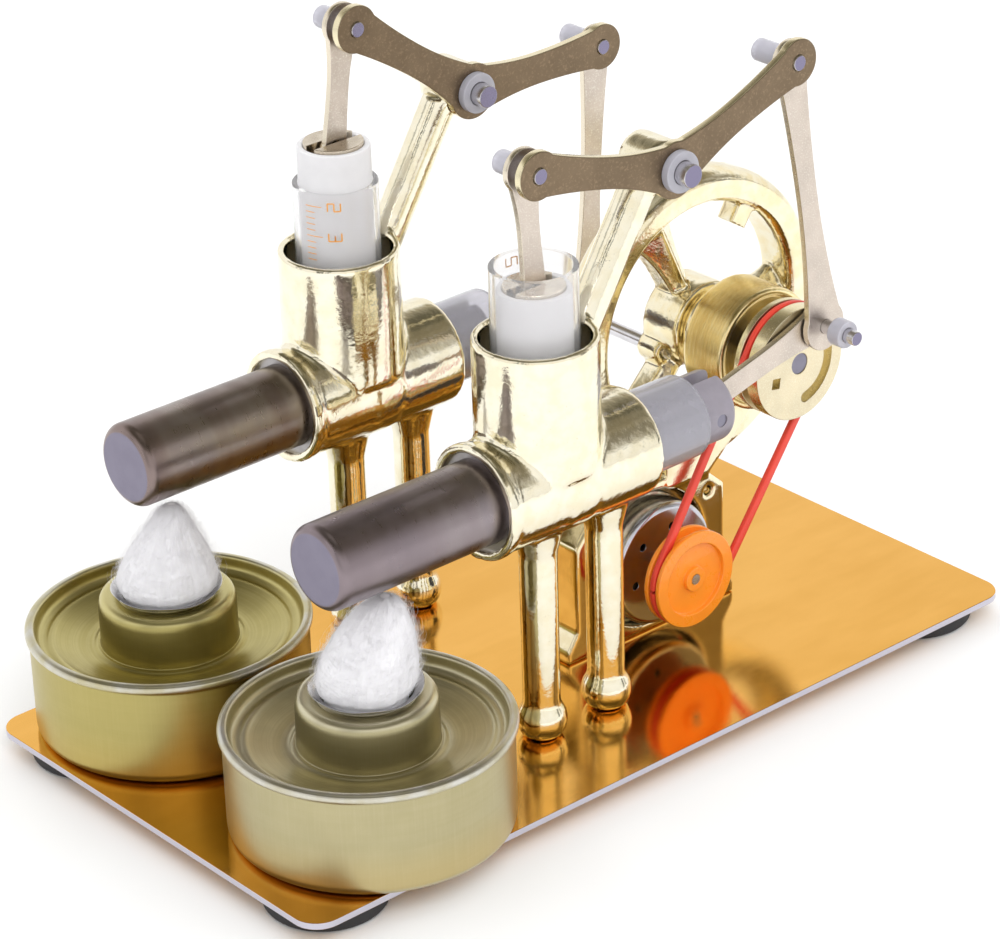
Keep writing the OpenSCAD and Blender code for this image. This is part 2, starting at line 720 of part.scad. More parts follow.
module bearing_outer_rings() {
    color("silver") for (y = bearing_y) difference() {
        rod_y(bearing_r, bearing_w, [shaft_x, y, axis_z]);
        rod_y(race_out, bearing_w + 2 * cut, [shaft_x, y - cut, axis_z]);
    }
}

module bearing_inner_rings() {
    color("silver") for (y = bearing_y) difference() {
        rod_y(race_in, bearing_w, [shaft_x, y, axis_z]);
        rod_y(shaft_r + fit, bearing_w + 2 * cut, [shaft_x, y - cut, axis_z]);
    }
}

// Stand: motor ring on two feet, a leaning arm and the bearing housing, cast in one
module bearing_stand() {
    left = motor_x - ring_half;
    right = motor_x + ring_half;
    top = motor_axis + motor_r + 3;
    arm_l = right - 15;
    color("darkkhaki") difference() {
        union() {
            plate_xz(ring_y, ring_w) polygon([[left - 2.5, floor_z], [left - 2.5, floor_z + 2.2],
                [left, floor_z + 6], [left, top - 7], [left + 6, top], [arm_l, top],
                [right - 7, top], [right - 4, top - 2.4], [right, top - 6], [right, floor_z + 6],
                [right + 2.5, floor_z + 2.2], [right + 2.5, floor_z]]);
            plate_xz(housing_y + 4.6, housing_l - 4.6) polygon([[arm_l, top - 2.5], [right - 4, top - 2.5],
                [shaft_x, axis_z - housing_r - 3.3], [shaft_x + 4.5, axis_z - housing_r + 2],
                [shaft_x, axis_z], [shaft_x - 9, axis_z - 4], [arm_l, top + 5]]);
            rod_y(housing_r, housing_l, [shaft_x, housing_y, axis_z]);
        }
        rod_y(housing_r - 1.4, 0.9 + cut, [shaft_x, housing_y - cut, axis_z]);
        rod_y(bearing_r + fit, housing_l + 2 * cut, [shaft_x, housing_y - cut, axis_z]);
        rod_y(motor_r + fit, ring_w + 2 * cut, [motor_x, ring_y - cut, motor_axis]);
        rod_y(motor_r + 1.4, 3.5 + cut, [motor_x, ring_y - cut, motor_axis]);
        for (s = stand_feet) rod_z(screw_r + fit, screw_deep + cut, [s[0], s[1], floor_z - cut]);
        rod_y(1, 3 + cut, [right - 4, ring_y - cut, top - 6.4]);
    }
}

vent_r = 0.75;

module motor_can() {
    wall = 0.8;
    round_r = 1.2;
    color("silver") difference() {
        union() {
            rod_y(motor_r, motor_l - round_r, [motor_x, motor_y + round_r, motor_axis]);
            rod_y(motor_r - round_r, 2 * round_r, [motor_x, motor_y, motor_axis]);
            translate([motor_x, motor_y + round_r, motor_axis]) rotate([-90, 0, 0]) rotate_extrude()
                translate([motor_r - round_r, 0]) circle(round_r);
            rod_y(3, 1, [motor_x, motor_y - 0.8, motor_axis]);
        }
        rod_y(motor_r - wall, motor_l, [motor_x, motor_y + wall, motor_axis]);
        rod_y(motor_shaft_r + run, wall + 3, [motor_x, motor_y - 2, motor_axis]);
        for (a = [15:60:315]) translate([motor_x, 0, motor_axis]) rotate([0, -a, 0])
            rod_y(vent_r, wall + 2 * cut, [7.6, motor_y - cut, 0]);
    }
}

module motor_end_cap() {
    color("black") difference() {
        union() {
            rod_y(motor_r - 0.8 - fit, 1.6, [motor_x, motor_y + motor_l - 1.6, motor_axis]);
            rod_y(3, 1.2, [motor_x, motor_y + motor_l, motor_axis]);
        }
        rod_y(motor_shaft_r + run, 4, [motor_x, motor_y + motor_l - 1.6 - cut, motor_axis]);
        for (s = [-1, 1]) translate([motor_x - 7.6, motor_y + motor_l - 1.6 - cut, motor_axis + s * 4 - 1])
            cube([0.5, 1.6 + 2 * cut, 2]);
    }
}

module motor_terminals() {
    color("gold") for (s = [-1, 1])
        translate([motor_x - 7.6 + fit, motor_y + motor_l - 2.4, motor_axis + s * 4 - 1 + fit])
            cube([0.5 - 2 * fit, 4.4, 2 - 2 * fit]);
}

module motor_rotor() {
    color("gray") {
        rod_y(motor_shaft_r, motor_y + motor_l + 0.8 - pulley_y, [motor_x, pulley_y, motor_axis]);
        rod_y(7.5, 6.5, [motor_x, motor_y + 2.2, motor_axis]);
    }
}

module motor_pulley() {
    recess = 0.9;
    color("orange") turned_y([motor_x, pulley_y, motor_axis]) difference() {
        translate([motor_shaft_r + fit, 0]) square([pulley_r - motor_shaft_r - fit, pulley_w]);
        translate([pulley_groove_r, (pulley_w - groove_w) / 2]) square([groove_deep + cut, groove_w]);
        translate([2.4, -cut]) square([pulley_r - 4.8, recess + cut]);
    }
}

// Endless belt round both pulleys, just clear of their grooves
module drive_belt() {
    a = [shaft_x, axis_z];
    b = [motor_x, motor_axis];
    ra = crank_groove_r + belt_gap;
    rb = pulley_groove_r + belt_gap;
    color("red") plate_xz(belt_y, belt_w) difference() {
        belt_outline(a, b, ra + belt_t, rb + belt_t);
        belt_outline(a, b, ra, rb);
    }
}

// Loop round two circles with their outer tangents, as one outline
module belt_outline(a, b, ra, rb) {
    steps = 32;
    dir = atan2(b[1] - a[1], b[0] - a[0]);
    open = acos((ra - rb) / norm(b - a));
    round_a = [for (i = [0:steps]) let (t = dir + open + (360 - 2 * open) * i / steps) a + ra * [cos(t), sin(t)]];
    round_b = [for (i = [0:steps]) let (t = dir - open + 2 * open * i / steps) b + rb * [cos(t), sin(t)]];
    polygon(concat(round_a, round_b));
}

// Spirit burner: a tin with a rolled rim, a sunken lid and a raised neck
wick_hole = cup_d / 2 - 1.6;
neck_round = 2;

module burner_can(e) {
    w = can_wall;
    body = can_r - bead_r * 0.7;
    lid_top = can_h - lid_drop;
    lid_low = lid_top - lid_dish;
    neck_r = neck_d / 2;
    neck_top = can_h + neck_h;
    color("darkkhaki") translate([can_x[e], can_y[e], can_z]) difference() {
        union() {
            cylinder(h = can_h - bead_r, r = body);
            translate([0, 0, can_h - bead_r]) rotate_extrude() translate([can_r - bead_r, 0]) circle(bead_r);
            cylinder(h = neck_top - neck_round, r = neck_r);
            cylinder(h = neck_top, r = neck_r - neck_round);
            translate([0, 0, neck_top - neck_round]) rotate_extrude()
                translate([neck_r - neck_round, 0]) circle(neck_round);
        }
        rotate_extrude() polygon([[0, w], [body - w, w], [body - w, lid_top - w], [neck_r, lid_low - w], [0, lid_low - w]]);
        rotate_extrude() polygon([[neck_r, lid_low], [can_r - 2 * bead_r, lid_top],
            [can_r - 2 * bead_r, 2 * can_h], [neck_r, 2 * can_h]]);
        translate([0, 0, 2 * w]) cylinder(h = neck_top - 3 * w, r = neck_r - neck_round - w);
        translate([0, 0, w]) cylinder(h = neck_top + cut, r = wick_hole);
    }
}

// Flared tin cup that grips the wick
module wick_cup(e) {
    hole = wick_hole;
    lip = cup_d / 2;
    low = 3;
    t = 0.5;
    color("silver") translate([can_x[e], can_y[e], neck_z]) rotate_extrude() polygon([[hole - t - fit, -low],
        [hole - fit, -low], [hole - fit, 0.6], [lip, cup_h], [lip - t, cup_h], [hole - t - fit, 0.8]]);
}

// Cotton wick: a plug held by the cup, and a bulb over the lip that leans towards the hot tube
module wick(e) {
    plug_r = wick_hole - 0.9;
    bulb_r = cup_d / 2 - 1.3;
    bulb_z = cup_h + 0.8;
    bulb_h = 1.8;
    tip_r = 1.8;
    sunk = 8;
    seat = 0.6;
    tip_z = wick_top - neck_z - tip_r;
    color("white") translate([can_x[e], can_y[e], neck_z]) {
        translate([0, 0, -sunk]) cylinder(h = sunk + seat, r = plug_r, $fn = 32);
        hull() {
            cylinder(h = seat, r = plug_r - 0.3, $fn = 32);
            translate([0, 0, bulb_z]) cylinder(h = bulb_h, r = bulb_r, $fn = 32);
            translate([wick_lean[e] / 2, 0, (bulb_z + tip_z) / 2]) sphere(r = bulb_r * 0.66, $fn = 32);
            translate([wick_lean[e], 0, tip_z]) sphere(r = tip_r, $fn = 32);
        }
    }
}

base_plate();
base_feet();
base_screws();
engine_body(near);  // engine_body_near
engine_body(far);  // engine_body_far
hot_tube(near);  // hot_tube_near
hot_tube(far);  // hot_tube_far
tube_rings();
cold_cylinder(near);  // cold_cylinder_near
cold_cylinder(far);  // cold_cylinder_far
glass_cylinder(near);  // glass_cylinder_near
glass_cylinder(far);  // glass_cylinder_far
glass_seals();
pivot_pins();
bearing_stand();
bearing_outer_rings();
motor_can();
motor_end_cap();
motor_terminals();
drive_belt();
crank_shaft();
crank_rod();
flywheel();
crank_pulley();
shaft_screws();
bearing_inner_rings();
motor_rotor();
motor_pulley();
rocker(near);  // rocker_near
rocker_pins(near);  // rocker_pins_near
rocker_sleeves(near);  // rocker_sleeves_near
push_rod(near);  // push_rod_near
crank_pin(near);  // crank_pin_near
crank_sleeve(near);  // crank_sleeve_near
piston_link(near);  // piston_link_near
power_piston(near);  // power_piston_near
piston_cap(near);  // piston_cap_near
cold_piston(near);  // cold_piston_near
hot_piston(near);  // hot_piston_near
wrist_pin(near);  // wrist_pin_near
con_rod(near);  // con_rod_near
rocker(far);  // rocker_far
rocker_pins(far);  // rocker_pins_far
rocker_sleeves(far);  // rocker_sleeves_far
push_rod(far);  // push_rod_far
crank_pin(far);  // crank_pin_far
crank_sleeve(far);  // crank_sleeve_far
piston_link(far);  // piston_link_far
power_piston(far);  // power_piston_far
piston_cap(far);  // piston_cap_far
cold_piston(far);  // cold_piston_far
hot_piston(far);  // hot_piston_far
wrist_pin(far);  // wrist_pin_far
con_rod(far);  // con_rod_far
burner_can(near);  // burner_can_near
burner_can(far);  // burner_can_far
wick_cup(near);  // wick_cup_near
wick_cup(far);  // wick_cup_far
wick(near);  // wick_near
wick(far);  // wick_far
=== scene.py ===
"""Looks of the twin hot-air engine model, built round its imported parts."""
import json
import math
import random

import bmesh
import bpy
from mathutils import Matrix, Vector, noise


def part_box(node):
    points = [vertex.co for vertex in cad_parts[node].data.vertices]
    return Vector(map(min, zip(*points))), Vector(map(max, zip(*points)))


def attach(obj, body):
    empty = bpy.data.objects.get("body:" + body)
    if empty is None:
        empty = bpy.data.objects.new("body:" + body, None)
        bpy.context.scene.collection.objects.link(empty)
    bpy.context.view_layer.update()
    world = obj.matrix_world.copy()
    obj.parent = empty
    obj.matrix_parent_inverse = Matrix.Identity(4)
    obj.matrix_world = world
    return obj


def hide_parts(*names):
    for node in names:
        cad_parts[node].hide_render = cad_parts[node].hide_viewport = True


MM = 0.001
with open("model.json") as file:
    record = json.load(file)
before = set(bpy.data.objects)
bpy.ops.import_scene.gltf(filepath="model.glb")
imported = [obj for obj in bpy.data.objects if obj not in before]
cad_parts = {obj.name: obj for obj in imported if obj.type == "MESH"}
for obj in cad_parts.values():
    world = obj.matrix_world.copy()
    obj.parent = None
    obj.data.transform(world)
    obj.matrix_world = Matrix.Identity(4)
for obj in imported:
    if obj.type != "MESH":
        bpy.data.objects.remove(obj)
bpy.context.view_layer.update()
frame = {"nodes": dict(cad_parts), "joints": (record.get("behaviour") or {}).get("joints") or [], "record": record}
nodes = frame["nodes"]
node_body = {n: body for body, names in frame["record"]["behaviour"]["bodies"].items() for n in names}
joint_at = {j["name"]: Vector(j["pos_m"]) for j in frame["joints"] if "pos_m" in j}
ENGINES = ("near", "far")

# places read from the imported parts
shaft_axis = joint_at["flywheel_spin"]
motor_axis = joint_at["generator_spin"]


def middle(node):
    low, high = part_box(node)
    return (low + high) / 2


# ---------------------------------------------------------------- shader maths

class Value:
    """A shader socket. Arithmetic on it adds Math nodes."""

    def __init__(self, finish, socket):
        self.finish = finish
        self.socket = socket

    def math(self, operation, *others):
        return self.finish.node("ShaderNodeMath", {"operation": operation}, [self, *others])

    def __add__(self, other):
        return self.math("ADD", other)

    def __sub__(self, other):
        return self.math("SUBTRACT", other)

    def __mul__(self, other):
        return self.math("MULTIPLY", other)

    def __rsub__(self, other):
        return self.finish.node("ShaderNodeMath", {"operation": "SUBTRACT"}, [other, self])

    __radd__ = __add__

    def abs(self):
        return self.math("ABSOLUTE")

    def step(self, low, high):
        """0 below low, 1 above high, smooth between."""
        settings = {"interpolation_type": "SMOOTHSTEP"}
        return self.finish.node("ShaderNodeMapRange", settings, [self, low, high, 0.0, 1.0])


class Finish:
    """A node tree with the few textures that this engine's finishes share."""

    def __init__(self, owner):
        owner.use_nodes = True
        self.tree = owner.node_tree
        self.tree.nodes.clear()

    def node(self, kind, settings=None, inputs=None, out=0):
        made = self.tree.nodes.new(kind)
        for key, value in (settings or {}).items():
            if key == "stops":
                ramp = made.color_ramp
                while len(ramp.elements) < len(value):
                    ramp.elements.new(0.5)
                for element, (place, colour) in zip(ramp.elements, value):
                    element.position = place
                    element.color = (*colour, 1)
            else:
                setattr(made, key, value)
        pairs = inputs.items() if isinstance(inputs, dict) else enumerate(inputs or [])
        for key, value in pairs:
            if isinstance(value, Value):
                self.tree.links.new(value.socket, made.inputs[key])
            elif isinstance(value, tuple) and len(value) == 3 and made.inputs[key].type == "RGBA":
                made.inputs[key].default_value = (*value, 1)
            else:
                made.inputs[key].default_value = value
        return Value(self, made.outputs[out]) if made.outputs else None

    def place(self):
        return self.node("ShaderNodeTexCoord", out="Object")

    def axes(self, vector):
        return [self.node("ShaderNodeSeparateXYZ", None, [vector], out=i) for i in range(3)]

    def normal(self):
        return self.axes(self.node("ShaderNodeNewGeometry", out="Normal"))

    def stretch(self, vector, x, y, z):
        return self.node("ShaderNodeVectorMath", {"operation": "MULTIPLY"}, [vector, (x, y, z)])

    def noise(self, vector, scale, detail=3.0, rough=0.55):
        inputs = {"Vector": vector, "Scale": scale, "Detail": detail, "Roughness": rough}
        return self.node("ShaderNodeTexNoise", None, inputs)

    def mix(self, factor, a, b):
        """Colour a where factor is 0, and b where it is 1."""
        return self.node("ShaderNodeMix", {"data_type": "RGBA"}, {0: factor, 6: a, 7: b}, out=2)

    def bump(self, height, depth, strength):
        return self.node("ShaderNodeBump", None, {"Height": height, "Distance": depth, "Strength": strength})

    def turn_about_y(self, centre):
        """Angle round, and distance from, a line along Y through centre."""
        x, _, z = self.axes(self.place())
        dx, dz = x - centre.x, z - centre.z
        return dz.math("ARCTAN2", dx), (dx * dx + dz * dz).math("SQRT")

    def turn_about_z(self, centre):
        """Angle round, and distance from, an upright line through centre."""
        x, y, _ = self.axes(self.place())
        dx, dy = x - centre.x, y - centre.y
        return dy.math("ARCTAN2", dx), (dx * dx + dy * dy).math("SQRT")

    def together(self, x, y, z):
        return self.node("ShaderNodeCombineXYZ", None, [x, y, z])

    def shade(self, **inputs):
        names = {key.replace("_", " ").title().replace("Ior", "IOR"): value for key, value in inputs.items()}
        surface = self.node("ShaderNodeBsdfPrincipled", None, names)
        self.node("ShaderNodeOutputMaterial", None, [surface])


def finish(name):
    material = bpy.data.materials.new(name)
    return material, Finish(material)


def wear(f, scale):
    """Slow patches, and fine specks, from 0 to 1."""
    return f.noise(f.place(), scale, 4.0).step(0.35, 0.68), f.noise(f.place(), scale * 9, 2.0)


def gold_sheet():
    """Anodised sheet, brushed along X and almost a mirror, with a bare silvery edge."""
    material, f = finish("gold_sheet")
    at = f.place()
    brush = f.noise(f.stretch(at, 60, 3200, 3200), 1.0, 4.0, 0.7)
    slow = f.noise(f.stretch(at, 25, 90, 90), 1.0, 3.0)
    patch, speck = wear(f, 70)
    _, _, nz = f.normal()
    side = 1 - nz.abs().step(0.3, 0.7)
    gold = f.mix(slow.step(0.35, 0.7), (0.80, 0.42, 0.075), (0.87, 0.47, 0.10))
    gold = f.mix(patch * 0.2, gold, (0.75, 0.38, 0.06))
    f.shade(base_color=f.mix(side, gold, (0.62, 0.60, 0.68)), metallic=1.0,
            roughness=0.035 + brush * 0.07 + side * 0.3 + speck * 0.02,
            normal=f.bump(brush + slow * 2.5, 0.00002, 0.45))
    return material


def plated(name, colour, deep, rough, peel):
    """Bright plating over a casting: an uneven skin, with darker metal showing through in specks."""
    material, f = finish(name)
    at = f.place()
    skin = f.noise(at, 900, 3.0)
    swell = f.noise(at, 190, 2.0)
    patch, speck = wear(f, 300)
    tone = f.mix(patch * 0.55, colour, deep)
    f.shade(base_color=f.mix(speck.step(0.66, 0.8) * 0.5, tone, (0.30, 0.24, 0.13)), metallic=1.0,
            roughness=rough + patch * 0.05 + speck * 0.06, normal=f.bump(skin + swell * 2.2, peel, 0.8))
    return material


TURNED_R = 12.1     # radius to which the bearing housing is turned


def brushed_housing():
    """The casting's plating, with turned gold round the shaft."""
    material, f = finish("brushed_housing")
    angle, far_off = f.turn_about_y(shaft_axis)
    _, y, _ = f.axes(f.place())
    turned = 1 - far_off.step(TURNED_R * MM, (TURNED_R + 0.3) * MM)
    lines = f.noise(f.together(angle * 1.5, y * 5200, far_off * 2600), 1.0, 4.0, 0.75)
    patch, speck = wear(f, 240)
    rub = f.noise(f.stretch(f.place(), 500, 500, 1800), 1.0, 4.0)
    gold = f.mix(lines.step(0.3, 0.75), (0.84, 0.64, 0.26), (0.97, 0.86, 0.54))
    plate = f.mix(patch * 0.5, (0.93, 0.84, 0.60), (0.80, 0.66, 0.38))
    f.shade(base_color=f.mix(turned, plate, gold), metallic=1.0,
            roughness=0.06 + patch * 0.05 + turned * (0.07 + lines * 0.12),
            normal=f.bump(lines * turned + speck * 0.4 + rub * 0.5, 0.00003, 0.6))
    return material


HEATED_X = (-66, -48)     # the hot tubes are browner from their ends up to here


def heat_steel(which):
    """Steel tube with heat bands along it and a grey-violet closed end."""
    material, f = finish("heat_steel_" + which)
    at = f.place()
    x, _, _ = f.axes(at)
    nx, _, _ = f.normal()
    end = (nx * -1.0).step(0.93, 0.99)
    turned = f.noise(f.stretch(at, 2600, 60, 60), 1.0, 3.0, 0.6)
    bands = f.noise(f.stretch(at, 70, 20, 20), 1.0, 3.0)
    patch, speck = wear(f, 330)
    body = f.node("ShaderNodeValToRGB", {"stops": [(0.0, (0.17, 0.13, 0.12)), (0.4, (0.27, 0.215, 0.185)),
                  (0.62, (0.36, 0.31, 0.27)), (1.0, (0.26, 0.235, 0.25))]}, [bands.step(0.2, 0.8)])
    hot = 1 - x.step(HEATED_X[0] * MM, HEATED_X[1] * MM)
    body = f.mix(hot * 0.5, body, (0.30, 0.22, 0.20))
    body = f.mix(0.6 if which == "near" else 0.15, body, (0.29, 0.25, 0.29))
    body = f.mix(speck.step(0.68, 0.85) * 0.4, body, (0.5, 0.45, 0.4))
    f.shade(base_color=f.mix(end, body, (0.27, 0.25, 0.325)),
            metallic=1.0 - end * 0.3, roughness=0.22 + turned * 0.12 + patch * 0.08 + end * 0.22,
            normal=f.bump(turned + speck * 0.5, 0.000015, 0.5))
    return material


def grained_bronze(name, face, edge, grain, rough):
    """Blanked sheet: grained flat faces and bright rolled edges."""
    material, f = finish(name)
    at = f.place()
    _, ny, _ = f.normal()
    edging = 1 - ny.abs().step(0.45, 0.85)
    grit = f.noise(at, grain, 3.0, 0.7)
    slow = f.noise(at, 120, 3.0)
    patch, speck = wear(f, 420)
    tone = f.mix(slow.step(0.3, 0.7) * 0.5, face, tuple(c * 0.72 for c in face))
    tone = f.mix(grit.step(0.5, 0.7) * 0.5, tone, tuple(min(1, c * 1.7) for c in face))
    f.shade(base_color=f.mix(edging, tone, edge), metallic=1.0,
            roughness=rough + patch * 0.08 - edging * (rough - 0.16) + grit * 0.08,
            normal=f.bump(grit * (1 - edging * 0.8) + speck * 0.3, 0.00003, 0.75))
    return material


def plain_metal(name, colour, rough, end_tint=None):
    """Turned metal; end_tint colours the faces across Y."""
    material, f = finish(name)
    at = f.place()
    lines = f.noise(f.stretch(at, 500, 3800, 500), 1.0, 3.0, 0.6)
    patch, speck = wear(f, 500)
    tone = f.mix(patch * 0.3, colour, tuple(c * 0.7 for c in colour))
    if end_tint:
        _, ny, _ = f.normal()
        tone = f.mix(ny.abs().step(0.8, 0.95), tone, end_tint)
    f.shade(base_color=tone, metallic=1.0, roughness=rough + lines * 0.1 + patch * 0.05,
            normal=f.bump(lines + speck * 0.4, 0.00001, 0.5))
    return material


# lacquer colours of the two cans: dull; bright, which is also the painted highlight; and side, a darker copy of
# the lacquer painted on the upright side as shade
LACQUER = {"near": ((0.56, 0.51, 0.33), (0.78, 0.73, 0.54), (0.43, 0.375, 0.185)),
           "far": ((0.52, 0.45, 0.17), (0.72, 0.65, 0.32), (0.42, 0.35, 0.12))}
BEAD_R = (24.0, 24.8)           # the bead's inner edge
BEAD_UNDER = (18.6, 19.4)       # and its underside, above the can's bottom
SHOULDER = (17.0, 19.5)         # the neck's faces above this height get a painted highlight
PLATE_REFLECTION_H = (2.0, 11.0)            # height up to which the side gets a painted reflection of the gold plate


def burner_tin(which):
    """Lacquered tin: satin olive gold, worn to silver on the bead, drawn lines down the side; with painted shade
    on the upright side, a painted highlight on the lid and neck, and a painted reflection of the gold plate low on
    the side.
    """
    material, f = finish("burner_tin_" + which)
    # shade is the painted shade of the upright side; bright is also the painted highlight
    dull, bright, shade = LACQUER[which]
    low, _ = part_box("burner_can_" + which)
    angle, out = f.turn_about_z(middle("burner_can_" + which))
    _, _, z = f.axes(f.place())
    _, _, nz = f.normal()
    rings = f.noise(f.together(angle * 0.4, out * 2400, z * 900), 1.0, 3.0, 0.6)
    drawn = f.noise(f.together(angle * 55, z * 60, 0.0), 1.0, 3.0, 0.7)
    side = 1 - nz.abs().step(0.2, 0.6)
    patch, speck = wear(f, 160)
    height = z - low.z
    bead = out.step(BEAD_R[0] * MM, BEAD_R[1] * MM) * height.step(BEAD_UNDER[0] * MM, BEAD_UNDER[1] * MM)
    worn = bead * (0.35 + patch * 0.6)
    olive = f.mix(rings.step(0.35, 0.7) * (0.35 - side * 0.2), dull, bright)
    olive = f.mix(patch * 0.35, olive, tuple(c * 0.8 for c in dull))
    olive = f.mix(side * drawn.step(0.4, 0.75) * 0.2, olive, bright)
    # painted highlight on the upward faces above the shoulder height
    painted_highlight = height.step(SHOULDER[0] * MM, SHOULDER[1] * MM) * (1 - side) * (1 - bead)
    olive = f.mix(painted_highlight * 0.6, olive, bright)
    # painted shade: the upright side is darkened to the side lacquer colour
    olive = f.mix(side * 0.55, olive, shade)
    # painted reflection of the gold plate, low on the upright side
    painted_plate_reflection = side * (1 - height.step(PLATE_REFLECTION_H[0] * MM, PLATE_REFLECTION_H[1] * MM))
    olive = f.mix(painted_plate_reflection * 0.2, olive, (0.80, 0.52, 0.13))
    f.shade(base_color=f.mix(worn, olive, (0.70, 0.69, 0.64)), metallic=1.0,
            roughness=0.26 + rings * (1 - side) * 0.06 + side * 0.08 + speck * 0.05,
            normal=f.bump(rings * (1 - side) * 0.3 + drawn * side * 0.5 + speck * 0.25, 0.00002, 0.5))
    return material


EVEN_SCATTER = (1.0, 1.0, 1.0)     # red, green and blue reach equally far below the surface


def plastic(name, colour, rough, coat=0.0, mottle=0.15, **fixed):
    """Moulded plastic, rubber or frosted glass with faint mottling and scuffs."""
    material, f = finish(name)
    patch, speck = wear(f, 380)
    tone = f.mix(patch * mottle, colour, tuple(c * 0.72 for c in colour))
    f.shade(base_color=tone, roughness=rough + patch * 0.08 + speck * 0.06, coat_weight=coat,
            normal=f.bump(speck + patch * 0.3, 0.00001, 0.5), **fixed)
    return material


def cotton():
    """White cotton wool: fine upright fibres under a soft fluff."""
    material, f = finish("cotton")
    at = f.place()
    fibre = f.noise(f.stretch(at, 2600, 2600, 420), 1.0, 5.0, 0.7)
    fluff = f.noise(at, 520, 4.0)
    tone = f.mix(fibre.step(0.3, 0.7), (0.975, 0.96, 1.0), (0.995, 0.985, 1.0))
    tone = f.mix(fluff.step(0.45, 0.8) * 0.2, tone, (0.93, 0.91, 0.95))
    f.shade(base_color=tone, roughness=0.92 + fibre * 0.06, subsurface_weight=0.5, subsurface_scale=0.003,
            subsurface_radius=EVEN_SCATTER, sheen_weight=0.5,
            normal=f.bump(fibre * 0.5 + fluff, 0.00012, 0.6))
    return material


GOLD_SHEET = gold_sheet()
PLATED = plated("plated_casting", (0.95, 0.895, 0.72), (0.87, 0.78, 0.53), 0.05, 0.00005)
WHEEL_PLATE = plated("plated_wheel", (0.94, 0.87, 0.66), (0.89, 0.74, 0.40), 0.07, 0.00006)
HOUSING = brushed_housing()
HOT_STEEL = {engine: heat_steel(engine) for engine in ENGINES}
RING_STEEL = plain_metal("ring_steel", (0.42, 0.40, 0.40), 0.25)
PIN_STEEL = plain_metal("pin_steel", (0.72, 0.71, 0.74), 0.16, (0.24, 0.22, 0.32))
ROD_STEEL = plain_metal("rod_steel", (0.80, 0.79, 0.82), 0.12)
DARK_STEEL = plain_metal("dark_steel", (0.26, 0.25, 0.31), 0.3)
TINNED = plain_metal("tinned_cup", (0.74, 0.73, 0.74), 0.14)
ROCKER_BRONZE = grained_bronze("rocker_bronze", (0.235, 0.172, 0.11), (0.86, 0.77, 0.53), 2000.0, 0.34)
ROD_TAN = grained_bronze("rod_tan", (0.70, 0.61, 0.53), (0.80, 0.72, 0.58), 3600.0, 0.30)
PULLEY_BRASS = grained_bronze("pulley_brass", (0.82, 0.72, 0.50), (0.90, 0.80, 0.52), 4200.0, 0.24)
CAP_BRONZE = plated("cap_bronze", (0.70, 0.62, 0.50), (0.50, 0.42, 0.32), 0.2, 0.00003)
TERMINAL_BRASS = plain_metal("terminal_brass", (0.75, 0.58, 0.28), 0.25)
MOTOR_SHELL = plated("motor_shell", (0.62, 0.62, 0.67), (0.46, 0.46, 0.51), 0.16, 0.00001)
FEET_RUBBER = plastic("feet_rubber", (0.025, 0.025, 0.028), 0.6)
BELT_RUBBER = plastic("belt_rubber", (0.78, 0.055, 0.03), 0.34, 0.15)
PULLEY_PLASTIC = plastic("pulley_plastic", (1.0, 0.30, 0.02), 0.24, 0.35, 0.1,
                         subsurface_weight=0.2, subsurface_scale=0.001)
BLACK_PLASTIC = plastic("black_plastic", (0.03, 0.03, 0.035), 0.45)
NYLON = plastic("nylon", (0.70, 0.69, 0.76), 0.3, 0.3, 0.12, transmission_weight=0.45, ior=1.35)
FROSTED = plastic("frosted_piston", (0.94, 0.93, 0.95), 0.38, 0.3, 0.1, transmission_weight=0.2, ior=1.2,
                  subsurface_weight=0.3, subsurface_scale=0.003, subsurface_radius=EVEN_SCATTER)
GREY_FROSTED = plastic("grey_frosted_piston", (0.37, 0.34, 0.39), 0.3, 0.4, 0.3,
                       transmission_weight=0.25, ior=1.3)
CLEAR = plastic("clear_cylinder", (0.985, 0.98, 0.985), 0.03, 0.3, 0.02, transmission_weight=0.86, ior=1.12)
SMOKED = plastic("cold_cylinder", (0.70, 0.69, 0.75), 0.12, 0.6, 0.1, transmission_weight=0.7, ior=1.35)
TICK_PAINT = plastic("tick_paint", (0.85, 0.38, 0.05), 0.5)
COTTON = cotton()


# ---------------------------------------------------------------- mesh helpers

slot_of = {row["node"]: row["material_slot"] for row in frame["record"]["subparts"]}


def new_piece(name, mesh, material, body, *stands_for, slot=None):
    """An object at the origin that wears one material and rides on a body."""
    piece = bpy.data.objects.new(name, mesh)
    bpy.context.scene.collection.objects.link(piece)
    mesh.materials.clear()
    mesh.materials.append(material)
    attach(piece, body)
    if stands_for:
        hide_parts(*stands_for)
    return piece


def settled(mesh, *modifiers):
    """The mesh after modifiers, each given as (type, settings)."""
    holder = bpy.data.objects.new("holder", mesh)
    bpy.context.scene.collection.objects.link(holder)
    for kind, settings in modifiers:
        made = holder.modifiers.new(kind.lower(), kind)
        for key, value in settings.items():
            setattr(made, key, value)
    depsgraph = bpy.context.evaluated_depsgraph_get()
    result = bpy.data.meshes.new_from_object(holder.evaluated_get(depsgraph))
    bpy.data.objects.remove(holder)
    return result


def smooth(mesh, angle=35):
    """Smooth shading, except across edges sharper than angle in degrees."""
    mesh.shade_smooth()
    mesh.set_sharp_from_angle(angle=math.radians(angle))
    return mesh


def merged_copy(node):
    """A CAD part's mesh with its loose triangles joined."""
    bm = bmesh.new()
    bm.from_mesh(nodes[node].data)
    bmesh.ops.remove_doubles(bm, verts=bm.verts, dist=0.002 * MM)
    bmesh.ops.dissolve_limit(bm, angle_limit=math.radians(0.2), verts=bm.verts, edges=bm.edges)
    mesh = bpy.data.meshes.new(node + "_look")
    bm.to_mesh(mesh)
    bm.free()
    return mesh


